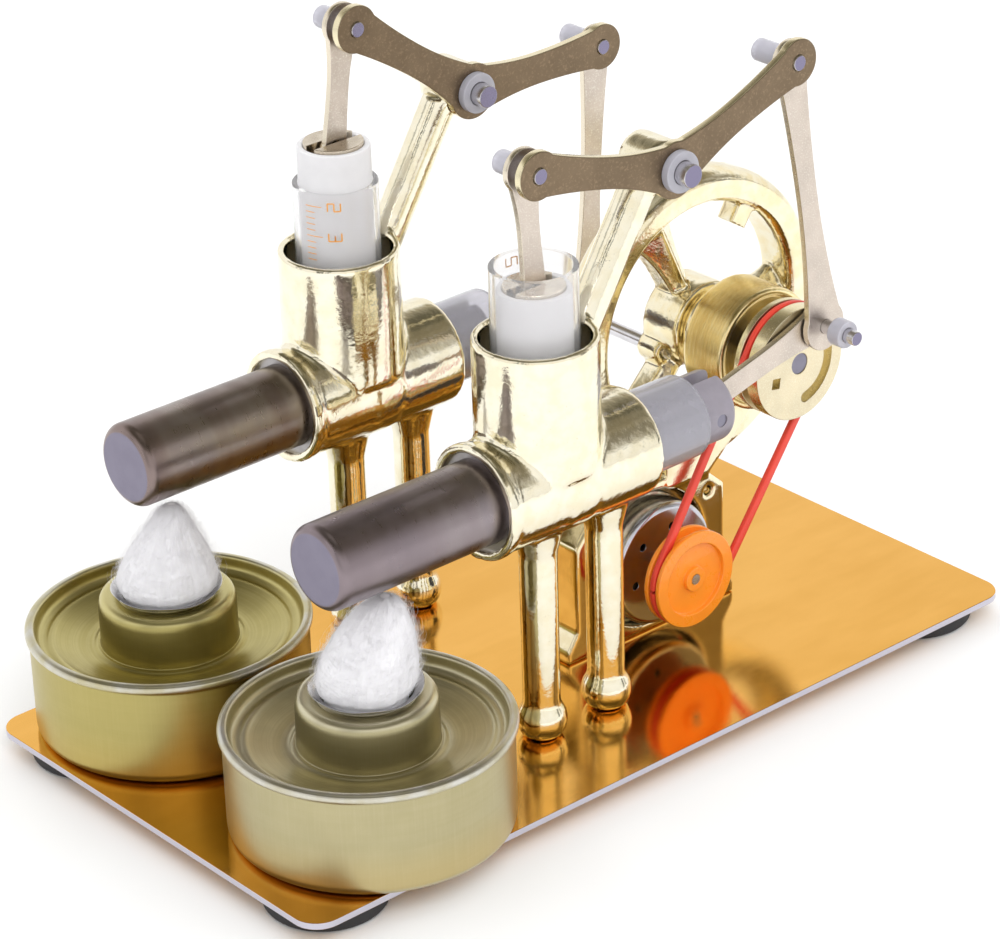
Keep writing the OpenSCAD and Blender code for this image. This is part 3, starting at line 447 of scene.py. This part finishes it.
def machined(node, material, bevel):
    """A CAD part with small worn chamfers on its sharp edges; its broad faces stay flat in the light."""
    chamfer = {"width": bevel * MM, "segments": 2, "limit_method": "ANGLE",
               "angle_limit": math.radians(40), "use_clamp_overlap": True}
    mesh = settled(merged_copy(node), ("BEVEL", chamfer))
    by_area = {"mode": "FACE_AREA", "weight": 100, "keep_sharp": True}
    mesh = settled(smooth(mesh), ("WEIGHTED_NORMAL", by_area))
    return new_piece(node + "_look", mesh, material, node_body[node], node, slot=slot_of[node])


def cast(node, material, grain, passes):
    """A CAD part as a casting: every edge and junction rounded off. grain is the size of the new faces."""
    remesh = {"mode": "VOXEL", "voxel_size": grain * MM, "use_smooth_shade": True}
    mesh = settled(merged_copy(node), ("REMESH", remesh), ("SMOOTH", {"factor": 0.5, "iterations": passes}))
    mesh.shade_smooth()
    return new_piece(node + "_look", mesh, material, node_body[node], node, slot=slot_of[node])


def spun(name, outline, centre, steps=128, wobble=None):
    """A closed [radius, height] outline turned about an upright line through centre."""
    bm = bmesh.new()
    rings = []
    for i in range(steps):
        a = 2 * math.pi * i / steps
        ring = []
        for r, h in outline:
            extra = wobble(a, r, h) if wobble else Vector((0, 0, 0))
            point = Vector((r * math.cos(a), r * math.sin(a), h))
            ring.append(bm.verts.new(point * MM + extra * MM + centre))
        rings.append(ring)
    for i in range(steps):
        here, there = rings[i], rings[(i + 1) % steps]
        for k in range(len(outline)):
            m = (k + 1) % len(outline)
            bm.faces.new((here[k], here[m], there[m], there[k]))
    bmesh.ops.remove_doubles(bm, verts=bm.verts, dist=0.0005 * MM)
    bmesh.ops.recalc_face_normals(bm, faces=bm.faces)
    mesh = bpy.data.meshes.new(name)
    bm.to_mesh(mesh)
    bm.free()
    return mesh


def rounded(points, radius, steps=5):
    """An outline whose inner corners are rounded by radius, or by each point's own third value."""
    out = [points[0][:2]]
    for before, here, after in zip(points, points[1:], points[2:]):
        r = here[2] if len(here) > 2 else radius
        p, q, s = Vector(before[:2]), Vector(here[:2]), Vector(after[:2])
        if r <= 0:
            out.append(tuple(q))
            continue
        r1, r2 = min(r, (p - q).length * 0.48), min(r, (s - q).length * 0.48)
        a, b = q + (p - q).normalized() * r1, q + (s - q).normalized() * r2
        for i in range(steps + 1):
            t = i / steps
            out.append(tuple(a * (1 - t) ** 2 + q * 2 * t * (1 - t) + b * t * t))
    out.append(points[-1][:2])
    return out


# ---------------------------------------------------------------- burners

def foot_of(node):
    """The middle of a part's underside."""
    low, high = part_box(node)
    return Vector(((low.x + high.x) / 2, (low.y + high.y) / 2, low.z))


def burner(which):
    """Tin with a rolled bead, a sunken lid with pressed rings, and a raised neck."""
    outline = rounded([(0.4, 0.0), (24.2, 0.0, 1.2), (25.25, 1.3, 0.9), (25.3, 18.7, 0.5), (25.95, 19.0, 0.5),
                       (26.0, 20.1, 0.8), (25.2, 20.5, 0.6), (24.2, 20.4, 0.8), (24.0, 18.2, 1.2),
                       (22.6, 17.5, 0.9), (21.4, 17.85, 0.7), (20.2, 17.3, 1.0), (15.6, 16.0, 2.0),
                       (13.9, 15.9, 0.6), (13.1, 16.3, 0.5), (12.5, 16.2, 0.4), (12.45, 25.7, 2.3),
                       (8.9, 25.65, 0.5), (8.6, 24.4, 0.0)], 0.6, 7)
    inside = [(8.1, 24.3), (8.3, 25.0), (10.4, 25.1), (11.8, 23.6), (11.9, 15.3), (23.4, 17.0), (24.6, 1.3),
              (0.4, 0.6)]
    mesh = smooth(spun("burner_" + which, outline + inside, foot_of("burner_can_" + which), 160), 50)
    new_piece("burner_%s_look" % which, mesh, burner_tin(which), which + "_burner", "burner_can_" + which,
              slot="burner_tin")


def wick_cup(which):
    """Thin tin cup, a little out of round, with a turned lip."""
    outline = rounded([(8.0, 0.0), (8.4, 0.0, 0.1), (8.45, 3.2, 0.7), (9.6, 3.9, 0.5), (10.1, 4.5, 0.05),
                       (9.95, 4.5, 0.05), (9.4, 4.05, 0.5), (8.1, 3.5, 0.6), (8.0, 0.1)], 0.2)
    seed = 2.0 if which == "near" else 7.0
    lip_root = 3.4

    def dented(a, r, h):
        amount = min(1.0, max(0.0, h - lip_root))
        n = noise.noise(Vector((math.cos(a) * 1.6 + seed, math.sin(a) * 1.6, 0)))
        return Vector((math.cos(a) * 0.5, math.sin(a) * 0.5, 1.1)) * (n - 0.25) * 0.5 * amount

    mesh = smooth(spun("wick_cup_" + which, outline, foot_of("wick_cup_" + which), 96, dented), 50)
    new_piece("wick_cup_%s_look" % which, mesh, TINNED, which + "_burner", "wick_cup_" + which,
              slot="bright_steel")


# share of a wick's height, and its radius there
WICK_RADII = {"near": [(0.0, 7.3), (0.33, 7.4), (0.38, 8.5), (0.44, 8.95), (0.5, 8.8), (0.58, 8.35),
                       (0.66, 7.6), (0.74, 6.8), (0.81, 5.8), (0.88, 4.7), (0.94, 3.5), (0.98, 2.1), (1.0, 0.4)],
              "far": [(0.0, 7.3), (0.33, 7.4), (0.38, 8.6), (0.44, 8.95), (0.5, 8.5), (0.58, 7.7),
                      (0.66, 6.7), (0.74, 5.5), (0.82, 4.3), (0.89, 3.3), (0.95, 2.3), (0.985, 1.3), (1.0, 0.3)]}
WICK_LEAN = {"near": 5.0, "far": 2.4}          # how far a tip leans along X
WICK_BEND = {"near": 1.4, "far": 1.1}          # above 1 the lean comes late
WICK_SEED = {"near": 11, "far": 23}
LEAN_FROM = 0.35                               # share of the height where the cup lets go
FIBRES = 4600


def wick_line(which):
    """Middle line and radius of a wick, from inside the cup to its tip."""
    low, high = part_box("wick_" + which)
    foot = foot_of("wick_cup_" + which)
    foot.z = low.z
    lean = WICK_LEAN[which] * MM
    rise = high.z - low.z - 0.3 * MM
    radii = WICK_RADII[which]

    def radius(t):
        for (a, ra), (b, rb) in zip(radii, radii[1:]):
            if t <= b:
                return (ra + (rb - ra) * (t - a) / (b - a)) * MM
        return radii[-1][1] * MM

    def centre(t):
        bend = max(0.0, (t - LEAN_FROM) / 0.65) ** WICK_BEND[which]
        return foot + Vector((lean * bend, 0, rise * t))

    return centre, radius


def wick(which):
    """Teased cotton: a soft lobed plug with a fuzz of fine fibres combed up to the tip."""
    centre, radius = wick_line(which)
    rng = random.Random(WICK_SEED[which])
    shift = Vector((rng.random() * 9, rng.random() * 9, rng.random() * 9))

    def surface(t, a):
        c, r = centre(t), radius(t)
        out = Vector((math.cos(a), math.sin(a), 0))
        lobes = noise.noise(Vector((math.cos(a) * 1.3, math.sin(a) * 1.3, t * 1.2)) + shift)
        strands = noise.noise(Vector((math.cos(a) * 7, math.sin(a) * 7, t * 2.2)) + shift * 2)
        hairs = noise.noise(Vector((math.cos(a) * 26, math.sin(a) * 26, t * 5)) + shift)
        return c + out * r * (1 + 0.09 * lobes + 0.035 * strands + 0.018 * hairs)

    bm = bmesh.new()
    rows, around = 110, 220
    turns = [2 * math.pi * k / around for k in range(around)]
    grid = [[bm.verts.new(surface(i / rows, a)) for a in turns] for i in range(rows)]
    for i in range(rows - 1):
        for k in range(around):
            m = (k + 1) % around
            bm.faces.new((grid[i][k], grid[i][m], grid[i + 1][m], grid[i + 1][k]))
    foot, tip = bm.verts.new(centre(0)), bm.verts.new(centre(1))
    for k in range(around):
        m = (k + 1) % around
        bm.faces.new((grid[0][m], grid[0][k], foot))
        bm.faces.new((grid[-1][k], grid[-1][m], tip))

    around_fibre = [Vector((math.cos(b), math.sin(b), 0.3 * math.sin(b))) for b in (0.4, 2.5, 4.6)]

    def fibre(path, thick):
        """A three-sided hair that thins towards its tip."""
        rings = []
        for i, p in enumerate(path):
            r = thick * (1 - 0.75 * i / (len(path) - 1))
            rings.append([bm.verts.new(p + v * r) for v in around_fibre])
        for lower, upper in zip(rings, rings[1:]):
            for k in range(3):
                m = (k + 1) % 3
                bm.faces.new((lower[k], lower[m], upper[m], upper[k]))

    for _ in range(FIBRES):
        t0 = rng.uniform(0.36, 0.97)
        a0 = rng.uniform(0, 2 * math.pi)
        length = rng.uniform(0.02, 0.15)
        stray = rng.random() ** 4 * 2.0 * MM + 0.06 * MM
        swirl = rng.uniform(-1.0, 1.0)
        path = []
        for i in range(6):
            s = i / 5
            t = min(0.995, t0 + length * s)
            lift = stray * math.sin(min(1.0, s * 1.1) * 1.6)
            p = surface(t, a0 + swirl * s)
            out = (p - centre(t)).normalized()
            path.append(p + out * (lift - 0.03 * MM))
        fibre(path, rng.uniform(0.012, 0.026) * MM)
    bmesh.ops.recalc_face_normals(bm, faces=bm.faces)
    mesh = bpy.data.meshes.new("wick_" + which)
    bm.to_mesh(mesh)
    bm.free()
    mesh.shade_smooth()
    piece = new_piece("wick_%s_look" % which, mesh, COTTON, which + "_burner", "wick_" + which, slot="cotton")


# ---------------------------------------------------------------- graduations

STROKES = {"2": ((0, 1), (1, 1), (1, 0.5), (0, 0.5), (0, 0), (1, 0)),
           "3": ((0, 1), (1, 1), (1, 0.5), (0.3, 0.5), (1, 0.5), (1, 0), (0, 0))}
TICK_FROM = {"near": 38, "far": -172}          # heading of the lines' ends, in degrees
TICK_TOP = 2.2                                 # first line below the glass's rim
TICK_STEP = 1.15


def graduations(which):
    """Ring lines and numbers printed on an upright glass, read with the glass on its side."""
    low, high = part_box("glass_cylinder_" + which)
    centre = (low + high) / 2
    skin = (high.x - low.x) / 2 + 0.02 * MM
    bm = bmesh.new()

    def stroke(start, end, thick):
        """A printed line between two [angle, height] points."""
        run = Vector(((end[0] - start[0]) * skin, end[1] - start[1]))
        side = Vector((-run.y, run.x)).normalized() * thick / 2
        steps = max(1, int(abs(end[0] - start[0]) / 0.08))
        rows = []
        for i in range(steps + 1):
            t = i / steps
            a, z = start[0] + (end[0] - start[0]) * t, start[1] + (end[1] - start[1]) * t
            pair = []
            for s in (-1, 1):
                turn = a + s * side.x / skin
                x, y = math.cos(turn) * skin + centre.x, math.sin(turn) * skin + centre.y
                pair.append(bm.verts.new(Vector((x, y, z + s * side.y))))
            rows.append(pair)
        for (p, q), (r, t) in zip(rows, rows[1:]):
            bm.faces.new((p, q, t, r))

    first = math.radians(TICK_FROM[which])
    for i in range(10):
        z = high.z - (TICK_TOP + i * TICK_STEP) * MM
        stroke((first, z), (first + (0.42 if i % 5 == 0 else 0.24), z), 0.16 * MM)
    for number, line in (("2", 0), ("3", 5)):
        z0 = high.z - (TICK_TOP + line * TICK_STEP) * MM
        ends = [(first + 0.56 + y * 0.3, z0 - (x - 0.5) * 1.5 * MM) for x, y in STROKES[number]]
        for start, end in zip(ends, ends[1:]):
            stroke(start, end, 0.26 * MM)
    for face in bm.faces:
        face.normal_update()
        out = face.calc_center_median() - centre
        if face.normal.dot(Vector((out.x, out.y, 0))) < 0:
            face.normal_flip()
    mesh = bpy.data.meshes.new("graduations_" + which)
    bm.to_mesh(mesh)
    bm.free()
    new_piece("graduations_" + which, mesh, TICK_PAINT, "engine_frame")


# ---------------------------------------------------------------- belt

def belt():
    """Round-edged belt swept round both pulleys by a node tree."""
    low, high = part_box("drive_belt")
    thick, wide = 1.2 * MM, (high.y - low.y)
    y = (low.y + high.y) / 2
    big, small = high.x - shaft_axis.x - thick / 2, motor_axis.x - low.x - thick / 2
    a, b = Vector((shaft_axis.x, y, shaft_axis.z)), Vector((motor_axis.x, y, motor_axis.z))
    along = math.atan2(b.z - a.z, b.x - a.x)
    lean = math.acos((big - small) / (b - a).length)
    points = []
    for i in range(49):
        t = along + lean + (2 * math.pi - 2 * lean) * i / 48
        points.append(a + Vector((math.cos(t), 0, math.sin(t))) * big)
    for i in range(49):
        t = along - lean + 2 * lean * i / 48
        points.append(b + Vector((math.cos(t), 0, math.sin(t))) * small)
    line = bpy.data.meshes.new("belt_line")
    line.from_pydata(points, [(i, (i + 1) % len(points)) for i in range(len(points))], [])
    tree = bpy.data.node_groups.new("belt_sweep", "GeometryNodeTree")
    tree.interface.new_socket("Geometry", in_out="INPUT", socket_type="NodeSocketGeometry")
    thickness = tree.interface.new_socket("Thickness", in_out="INPUT", socket_type="NodeSocketFloat")
    width = tree.interface.new_socket("Width", in_out="INPUT", socket_type="NodeSocketFloat")
    tree.interface.new_socket("Geometry", in_out="OUTPUT", socket_type="NodeSocketGeometry")
    source = tree.nodes.new("NodeGroupInput")
    result = tree.nodes.new("NodeGroupOutput")
    to_curve = tree.nodes.new("GeometryNodeMeshToCurve")
    section = tree.nodes.new("GeometryNodeCurvePrimitiveQuadrilateral")
    corner = tree.nodes.new("GeometryNodeFilletCurve")
    corner.mode = "POLY"
    corner.inputs["Count"].default_value = 3
    corner.inputs["Radius"].default_value = 0.35 * MM
    up = tree.nodes.new("GeometryNodeSetCurveNormal")
    up.mode = "Z_UP"
    sweep = tree.nodes.new("GeometryNodeCurveToMesh")
    paint = tree.nodes.new("GeometryNodeSetMaterial")
    paint.inputs["Material"].default_value = BELT_RUBBER
    real = tree.nodes.new("GeometryNodeRealizeInstances")
    link = tree.links.new
    link(source.outputs["Geometry"], to_curve.inputs[0])
    link(source.outputs["Thickness"], section.inputs["Width"])
    link(source.outputs["Width"], section.inputs["Height"])
    link(section.outputs[0], corner.inputs["Curve"])
    link(to_curve.outputs[0], up.inputs["Curve"])
    link(up.outputs[0], sweep.inputs["Curve"])
    link(corner.outputs[0], sweep.inputs["Profile Curve"])
    link(sweep.outputs[0], real.inputs[0])
    link(real.outputs[0], paint.inputs["Geometry"])
    link(paint.outputs[0], result.inputs[0])
    holder = bpy.data.objects.new("belt_holder", line)
    bpy.context.scene.collection.objects.link(holder)
    modifier = holder.modifiers.new("sweep", "NODES")
    modifier.node_group = tree
    modifier[thickness.identifier] = thick
    modifier[width.identifier] = wide
    depsgraph = bpy.context.evaluated_depsgraph_get()
    mesh = bpy.data.meshes.new_from_object(holder.evaluated_get(depsgraph))
    bpy.data.objects.remove(holder)
    bm = bmesh.new()
    bm.from_mesh(mesh)
    bmesh.ops.recalc_face_normals(bm, faces=bm.faces)
    bm.to_mesh(mesh)
    bm.free()
    new_piece("drive_belt_look", smooth(mesh, 50), BELT_RUBBER, "engine_frame", "drive_belt",
              slot="red_rubber")


# ---------------------------------------------------------------- castings and machined parts

for engine in ENGINES:
    cast("engine_body_" + engine, PLATED, 0.42, 18)
cast("bearing_stand", HOUSING, 0.35, 6)
cast("flywheel", WHEEL_PLATE, 0.40, 14)
belt()
for engine in ENGINES:
    burner(engine)
    wick_cup(engine)
    wick(engine)
    machined("hot_tube_" + engine, HOT_STEEL[engine], 0.1)
    machined("rocker_" + engine, ROCKER_BRONZE, 0.28)
    machined("push_rod_" + engine, ROD_TAN, 0.15)
    machined("con_rod_" + engine, ROD_TAN, 0.15)
    machined("piston_link_" + engine, ROD_TAN, 0.15)
    machined("rocker_pins_" + engine, PIN_STEEL, 0.15)
    machined("crank_pin_" + engine, PIN_STEEL, 0.2)
    machined("piston_cap_" + engine, CAP_BRONZE, 0.3)
    machined("power_piston_" + engine, FROSTED, 0.25)
    machined("cold_piston_" + engine, GREY_FROSTED, 0.1)
    machined("glass_cylinder_" + engine, CLEAR, 0.2)
    graduations(engine)
    machined("cold_cylinder_" + engine, SMOKED, 0.15)
    machined("rocker_sleeves_" + engine, NYLON, 0.2)
    machined("crank_sleeve_" + engine, NYLON, 0.25)
machined("base_plate", GOLD_SHEET, 0.2)
machined("crank_pulley", PULLEY_BRASS, 0.15)
machined("motor_can", MOTOR_SHELL, 0.12)
machined("motor_pulley", PULLEY_PLASTIC, 0.18)
machined("pivot_pins", PIN_STEEL, 0.2)
machined("base_feet", FEET_RUBBER, 0.3)

# the parts that keep their CAD shapes
PLAIN_PARTS = {
    "tube_rings": RING_STEEL, "glass_seals": NYLON, "motor_end_cap": BLACK_PLASTIC,
    "motor_terminals": TERMINAL_BRASS, "crank_shaft": DARK_STEEL, "shaft_screws": DARK_STEEL,
    "wrist_pin_near": DARK_STEEL, "wrist_pin_far": DARK_STEEL, "crank_rod": ROD_STEEL,
    "bearing_outer_rings": ROD_STEEL, "bearing_inner_rings": ROD_STEEL, "motor_rotor": ROD_STEEL,
    "base_screws": ROD_STEEL, "hot_piston_near": ROD_STEEL, "hot_piston_far": ROD_STEEL,
}
for name, material in PLAIN_PARTS.items():
    nodes[name].data.materials.clear()
    nodes[name].data.materials.append(material)


# ---------------------------------------------------------------- studio

# room that bright metal shows: its colour from straight down (0) to straight up (1)
ROOM_RISE = [(0.0, (0.9, 0.9, 0.9)), (0.775, (1.04, 1.03, 1.02)), (0.82, (0.42, 0.38, 0.30)),
             (0.90, (0.11, 0.10, 0.07)), (0.96, (0.16, 0.15, 0.11)), (1.0, (0.5, 0.48, 0.42))]
# dark upright bands in it: heading, half width, depth
ROOM_BANDS = ((-2.85, 0.07, 0.9), (-2.62, 0.05, 0.8), (-0.75, 0.09, 0.85), (-0.5, 0.05, 0.8),
              (2.6, 0.12, 0.5))
WALL_HEADING = -0.62        # a broad dim wall, seen on top of the barrels
# name, place, size, power
LAMPS = (("key", (-0.35, -0.55, 0.65), 0.45, 2.4), ("fill", (0.65, -0.35, 0.45), 0.5, 1.2),
         ("back", (0.1, 0.75, 0.55), 0.6, 1.6))


def studio():
    """Pale floor, soft lamps, and a white room with a dark ceiling and bands for bright metal to show."""
    scene = bpy.context.scene
    scene.view_settings.view_transform = "Standard"
    mesh = bpy.data.meshes.new("floor")
    half = 3.0
    corners = [(-half, -half, 0), (half, -half, 0), (half, half, 0), (-half, half, 0)]
    mesh.from_pydata(corners, [], [(0, 1, 2, 3)])
    floor = bpy.data.objects.new("floor", mesh)
    scene.collection.objects.link(floor)
    material, f = finish("floor")
    f.shade(base_color=(0.93, 0.93, 0.93), roughness=0.9, specular_ior_level=0.0)
    mesh.materials.append(material)
    world = bpy.data.worlds.new("room")
    scene.world = world
    f = Finish(world)
    x, y, z = f.axes(f.node("ShaderNodeTexCoord", out="Generated"))
    seen = f.node("ShaderNodeLightPath", out="Is Camera Ray")
    mirror = f.node("ShaderNodeLightPath", out="Is Glossy Ray")
    past_glass = f.node("ShaderNodeLightPath", out="Transmission Depth").math("MINIMUM", 1.0)
    mirror = mirror * (1 - past_glass)
    room = f.node("ShaderNodeValToRGB", {"stops": ROOM_RISE}, [z * 0.5 + 0.5])
    heading = y.math("ARCTAN2", x)
    for at, wide, depth in ROOM_BANDS:
        gap = (heading - at).abs()
        room = f.mix((1 - gap.step(wide * 0.6, wide)) * depth, room, (0.05, 0.045, 0.03))
    wall = (1 - (heading - WALL_HEADING).abs().step(0.25, 0.45)) * z.step(0.22, 0.36)
    room = f.mix(wall * 0.7, room, (0.24, 0.21, 0.15))
    soft_light = (0.95, 0.95, 0.95)
    shown = f.mix(seen, f.mix(mirror, soft_light, room), (1.0, 1.0, 1.0))
    background = f.node("ShaderNodeBackground", None, [shown, 1.0])
    f.node("ShaderNodeOutputWorld", None, [background])
    for name, place, size, power in LAMPS:
        data = bpy.data.lights.new(name, "AREA")
        data.size = size
        data.energy = power
        lamp = bpy.data.objects.new(name, data)
        lamp.location = place
        lamp.rotation_mode = "QUATERNION"
        lamp.rotation_quaternion = (Vector((0, 0, 0.05)) - Vector(place)).to_track_quat("-Z", "Y")
        lamp.visible_glossy = False
        scene.collection.objects.link(lamp)


def camera():
    """A long lens from the burners' side, a little above."""
    azimuth, elevation, roll = (math.radians(v) for v in (-40.36, 26.63, -1.77))
    aim = Vector((-4.37, -2.95, 46.81)) * MM
    distance = 685.77 * MM
    ahead = Vector((-math.sin(azimuth) * math.cos(elevation), math.cos(azimuth) * math.cos(elevation),
                    -math.sin(elevation)))
    level = Vector((math.cos(azimuth), math.sin(azimuth), 0))
    up = level.cross(ahead)
    right = level * math.cos(roll) + up * math.sin(roll)
    top = up * math.cos(roll) - level * math.sin(roll)
    data = bpy.data.cameras.new("camera")
    data.lens = 136.49
    data.sensor_width = 36
    data.clip_start, data.clip_end = 0.01, 20
    made = bpy.data.objects.new("camera", data)
    place = Matrix((right, top, -ahead)).transposed().to_4x4()
    place.translation = aim - ahead * distance
    made.matrix_world = place
    bpy.context.scene.collection.objects.link(made)
    bpy.context.scene.camera = made


studio()
camera()
